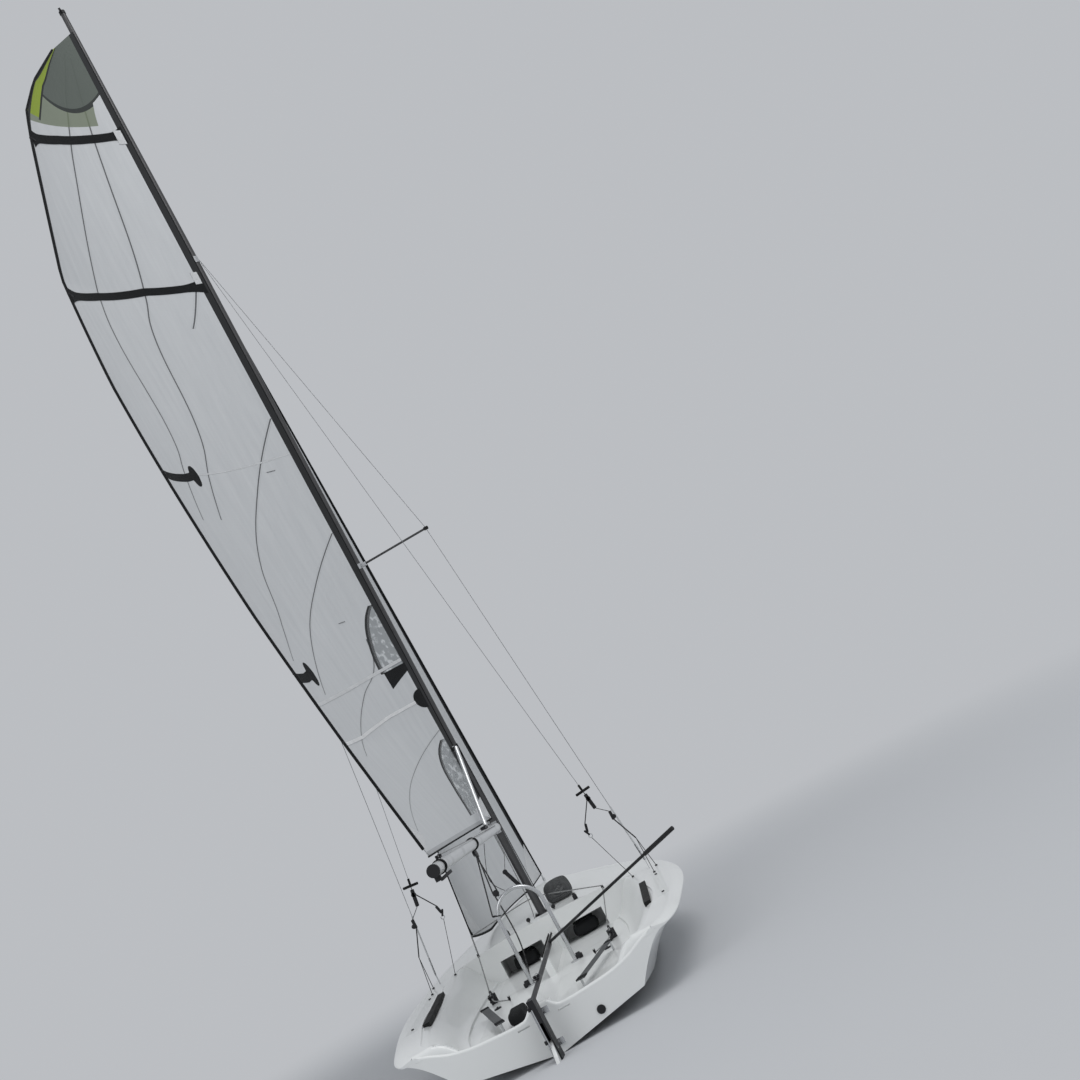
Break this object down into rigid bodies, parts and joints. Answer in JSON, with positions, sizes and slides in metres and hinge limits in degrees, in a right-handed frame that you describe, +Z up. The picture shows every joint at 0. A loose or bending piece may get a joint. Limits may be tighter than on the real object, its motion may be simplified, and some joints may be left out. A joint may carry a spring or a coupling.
{
  "type": "sailing dinghy",
  "caption": "Two-handed trapeze dinghy afloat: open-transom hull, fractional rig with mainsail and jib set to port, swinging boom, kick-up rudder, lifting centreboard and sliding bowsprit.",
  "frame": {"origin": "on the centreline at the waterline, at the foot of the transom", "axes": "+X forward to the bow, +Y to port, +Z up"},
  "size_m": [4.8202, 2.1012, 9.129],
  "materials": {
    "gelcoat": "smooth white moulded gelcoat, softly glossy",
    "spar_alloy": "satin anodised alloy",
    "boom_alloy": "pale satin anodised alloy",
    "stainless": "polished stainless steel",
    "wire": "stranded stainless wire",
    "black_plastic": "moulded black plastic",
    "black_rubber": "soft black rubber",
    "sailcloth": "white laminate sailcloth, slightly see-through",
    "sail_tape": "black polyester tape",
    "webbing": "grey padded webbing",
    "bag_cloth": "black coated cloth",
    "foil_white": "white laminate foil",
    "tiller_black": "black anodised and rubber-covered tube"
  },
  "bodies": {
    "hull": {"centreboard_case": "gelcoat", "centreboard_pin": "stainless", "chainplates": "stainless", "deck_moulding": "gelcoat", "forestay": "wire", "gooseneck": "stainless", "halyard_bags": "bag_cloth", "hoop_feet": "stainless", "hounds_band": "stainless", "hull_shell": "gelcoat", "jib": "sailcloth", "jib_cleats": "black_plastic", "luff_tape": "sail_tape", "mainsheet_hoop": "stainless", "mast_lower": "spar_alloy", "mast_step": "stainless", "mast_upper": "spar_alloy", "masthead_cap": "black_plastic", "rudder_gudgeons": "stainless", "shroud_port": "wire", "shroud_starboard": "wire", "side_deck_grips": "black_rubber", "spreader_bracket": "stainless", "spreader_port": "spar_alloy", "spreader_starboard": "spar_alloy", "sprit_sleeve": "black_plastic", "stem_fitting": "stainless", "strap_posts": "stainless", "strut_bracket": "stainless", "toe_straps": "webbing", "transom_bung": "black_plastic"},
    "boom": {"boom_tube": "boom_alloy", "boom_knuckle": "black_plastic", "boom_end": "black_plastic", "strut_slider": "black_plastic", "boom_strut": "boom_alloy", "boom_sheet_block": "black_plastic", "mainsail": "sailcloth"},
    "rudder": {"rudder_stock": "black_plastic", "tiller": "tiller_black", "tiller_extension": "tiller_black", "extension_joint": "black_rubber", "blade_bolt": "stainless"},
    "blade": {"rudder_blade": "foil_white"},
    "board": {"centreboard": "foil_white"},
    "sprit": {"bowsprit": "tiller_black"}
  },
  "joints": [
    {"name": "boom_swing", "type": "hinge", "parent": "hull", "child": "boom", "pos_m": [2.74528, 0, 1.15349], "axis": [-0.034, 0, 0.9994], "range_deg": [-65.6, 74.4], "deforming": ["mainsail"]},
    {"name": "rudder_steer", "type": "hinge", "parent": "hull", "child": "rudder", "pos_m": [-0.042, 0, 0.15], "axis": [0, 0, 1], "range_deg": [-30, 40]},
    {"name": "blade_lift", "type": "hinge", "parent": "rudder", "child": "blade", "pos_m": [-0.12468, 0.00723, 0.06], "axis": [0.0872, 0.9962, 0], "range_deg": [0, 95]},
    {"name": "board_lift", "type": "hinge", "parent": "hull", "child": "board", "pos_m": [2.55, 0, 0.04], "axis": [0, 1, 0], "range_deg": [0, 88]},
    {"name": "sprit_slide", "type": "slide", "parent": "hull", "child": "sprit", "axis": [1, 0, 0], "range_m": [0, 1.1]}
  ]
}
